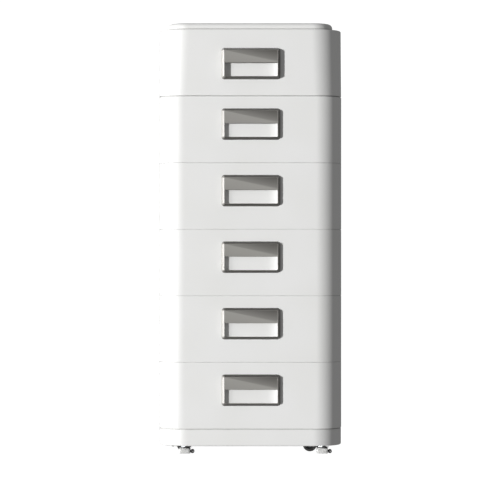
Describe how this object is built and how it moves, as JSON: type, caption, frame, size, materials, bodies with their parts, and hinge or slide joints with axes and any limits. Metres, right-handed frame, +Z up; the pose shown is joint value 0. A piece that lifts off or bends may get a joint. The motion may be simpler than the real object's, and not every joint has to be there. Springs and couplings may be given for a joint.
{
  "type": "stacked battery tower",
  "caption": "Floor-standing home battery tower: stacked battery modules and a control module on a plinth with casters and levelling feet.",
  "frame": {"origin": "on the floor, under the centre of the footprint", "axes": "+Z up, the front with its grips faces -Y, +X to the right as seen from the front"},
  "size_m": [0.54, 0.405, 1.2715],
  "materials": {
    "white_shell": "satin white powder coat",
    "grip_grey": "moulded, satin warm grey metallic paint",
    "lid_grey": "matt light grey",
    "zinc_steel": "zinc plated",
    "black_plastic": "matt moulded",
    "black_tread": "moulded tread",
    "foot_grey": "moulded light grey nylon",
    "cell_can": "blue film on an aluminium can",
    "copper": "bare stamped metal",
    "circuit_board": "green solder mask",
    "breaker_grey": "moulded light grey",
    "button_metal": "turned, polished",
    "terminal_brass": "nickelled stud on a moulded base"
  },
  "bodies": {
    "base": {"plinth": "white_shell", "chassis": "zinc_steel", "base_dock": "black_plastic"},
    "swivel_front_left": {"caster_fork_front_left": "zinc_steel"},
    "wheel_front_left": {"caster_wheel_front_left": "black_tread"},
    "swivel_front_right": {"caster_fork_front_right": "zinc_steel"},
    "wheel_front_right": {"caster_wheel_front_right": "black_tread"},
    "swivel_rear_right": {"caster_fork_rear_right": "zinc_steel"},
    "wheel_rear_right": {"caster_wheel_rear_right": "black_tread"},
    "swivel_rear_left": {"caster_fork_rear_left": "zinc_steel"},
    "wheel_rear_left": {"caster_wheel_rear_left": "black_tread"},
    "foot_front_left": {"levelling_foot_front_left": "foot_grey"},
    "foot_front_right": {"levelling_foot_front_right": "foot_grey"},
    "foot_rear_right": {"levelling_foot_rear_right": "foot_grey"},
    "foot_rear_left": {"levelling_foot_rear_left": "foot_grey"},
    "battery_1": {"battery_case_1": "white_shell", "battery_lid_1": "lid_grey", "battery_grips_1": "grip_grey", "cells_1": "cell_can", "busbars_1": "copper", "bms_board_1": "circuit_board", "battery_dock_1": "black_plastic"},
    "battery_2": {"battery_case_2": "white_shell", "battery_lid_2": "lid_grey", "battery_grips_2": "grip_grey", "cells_2": "cell_can", "busbars_2": "copper", "bms_board_2": "circuit_board", "battery_dock_2": "black_plastic"},
    "battery_3": {"battery_case_3": "white_shell", "battery_lid_3": "lid_grey", "battery_grips_3": "grip_grey", "cells_3": "cell_can", "busbars_3": "copper", "bms_board_3": "circuit_board", "battery_dock_3": "black_plastic"},
    "battery_4": {"battery_case_4": "white_shell", "battery_lid_4": "lid_grey", "battery_grips_4": "grip_grey", "cells_4": "cell_can", "busbars_4": "copper", "bms_board_4": "circuit_board", "battery_dock_4": "black_plastic"},
    "battery_5": {"battery_case_5": "white_shell", "battery_lid_5": "lid_grey", "battery_grips_5": "grip_grey", "cells_5": "cell_can", "busbars_5": "copper", "bms_board_5": "circuit_board", "battery_dock_5": "black_plastic"},
    "control": {"control_case": "white_shell", "top_cap": "white_shell", "control_grips": "grip_grey", "control_dock": "black_plastic", "main_breaker": "breaker_grey", "dc_terminals": "terminal_brass", "control_board": "circuit_board", "contactors": "black_plastic"},
    "lever": {"breaker_lever": "black_plastic"},
    "button": {"power_button": "button_metal"}
  },
  "joints": [
    {"name": "caster_swivel_front_left", "type": "hinge", "parent": "base", "child": "swivel_front_left", "pos_m": [-0.188, -0.062, 0.06], "axis": [0, 0, 1], "continuous": true},
    {"name": "wheel_spin_front_left", "type": "hinge", "parent": "swivel_front_left", "child": "wheel_front_left", "pos_m": [-0.198, -0.062, 0.022], "axis": [0, 1, 0], "continuous": true},
    {"name": "caster_swivel_front_right", "type": "hinge", "parent": "base", "child": "swivel_front_right", "pos_m": [0.188, -0.062, 0.06], "axis": [0, 0, 1], "continuous": true},
    {"name": "wheel_spin_front_right", "type": "hinge", "parent": "swivel_front_right", "child": "wheel_front_right", "pos_m": [0.178, -0.062, 0.022], "axis": [0, 1, 0], "continuous": true},
    {"name": "caster_swivel_rear_right", "type": "hinge", "parent": "base", "child": "swivel_rear_right", "pos_m": [0.188, 0.062, 0.06], "axis": [0, 0, 1], "continuous": true},
    {"name": "wheel_spin_rear_right", "type": "hinge", "parent": "swivel_rear_right", "child": "wheel_rear_right", "pos_m": [0.178, 0.062, 0.022], "axis": [0, 1, 0], "continuous": true},
    {"name": "caster_swivel_rear_left", "type": "hinge", "parent": "base", "child": "swivel_rear_left", "pos_m": [-0.188, 0.062, 0.06], "axis": [0, 0, 1], "continuous": true},
    {"name": "wheel_spin_rear_left", "type": "hinge", "parent": "swivel_rear_left", "child": "wheel_rear_left", "pos_m": [-0.198, 0.062, 0.022], "axis": [0, 1, 0], "continuous": true},
    {"name": "foot_travel_front_left", "type": "slide", "parent": "base", "child": "foot_front_left", "axis": [0, 0, 1], "range_m": [-0.015, 0]},
    {"name": "foot_travel_front_right", "type": "slide", "parent": "base", "child": "foot_front_right", "axis": [0, 0, 1], "range_m": [-0.015, 0]},
    {"name": "foot_travel_rear_right", "type": "slide", "parent": "base", "child": "foot_rear_right", "axis": [0, 0, 1], "range_m": [-0.015, 0]},
    {"name": "foot_travel_rear_left", "type": "slide", "parent": "base", "child": "foot_rear_left", "axis": [0, 0, 1], "range_m": [-0.015, 0]},
    {"name": "battery_lift_1", "type": "slide", "parent": "base", "child": "battery_1", "axis": [0, 0, 1], "range_m": [0, 0.03]},
    {"name": "battery_lift_2", "type": "slide", "parent": "battery_1", "child": "battery_2", "axis": [0, 0, 1], "range_m": [0, 0.03]},
    {"name": "battery_lift_3", "type": "slide", "parent": "battery_2", "child": "battery_3", "axis": [0, 0, 1], "range_m": [0, 0.03]},
    {"name": "battery_lift_4", "type": "slide", "parent": "battery_3", "child": "battery_4", "axis": [0, 0, 1], "range_m": [0, 0.03]},
    {"name": "battery_lift_5", "type": "slide", "parent": "battery_4", "child": "battery_5", "axis": [0, 0, 1], "range_m": [0, 0.03]},
    {"name": "control_lift", "type": "slide", "parent": "battery_5", "child": "control", "axis": [0, 0, 1], "range_m": [0, 0.03]},
    {"name": "breaker_toggle", "type": "hinge", "parent": "control", "child": "lever", "pos_m": [0.255, -0.035, 1.158], "axis": [0, 1, 0], "range_deg": [0, 60]},
    {"name": "button_press", "type": "slide", "parent": "control", "child": "button", "axis": [-1, 0, 0], "range_m": [0, 0.002], "stiffness_N_per_m": 900}
  ]
}
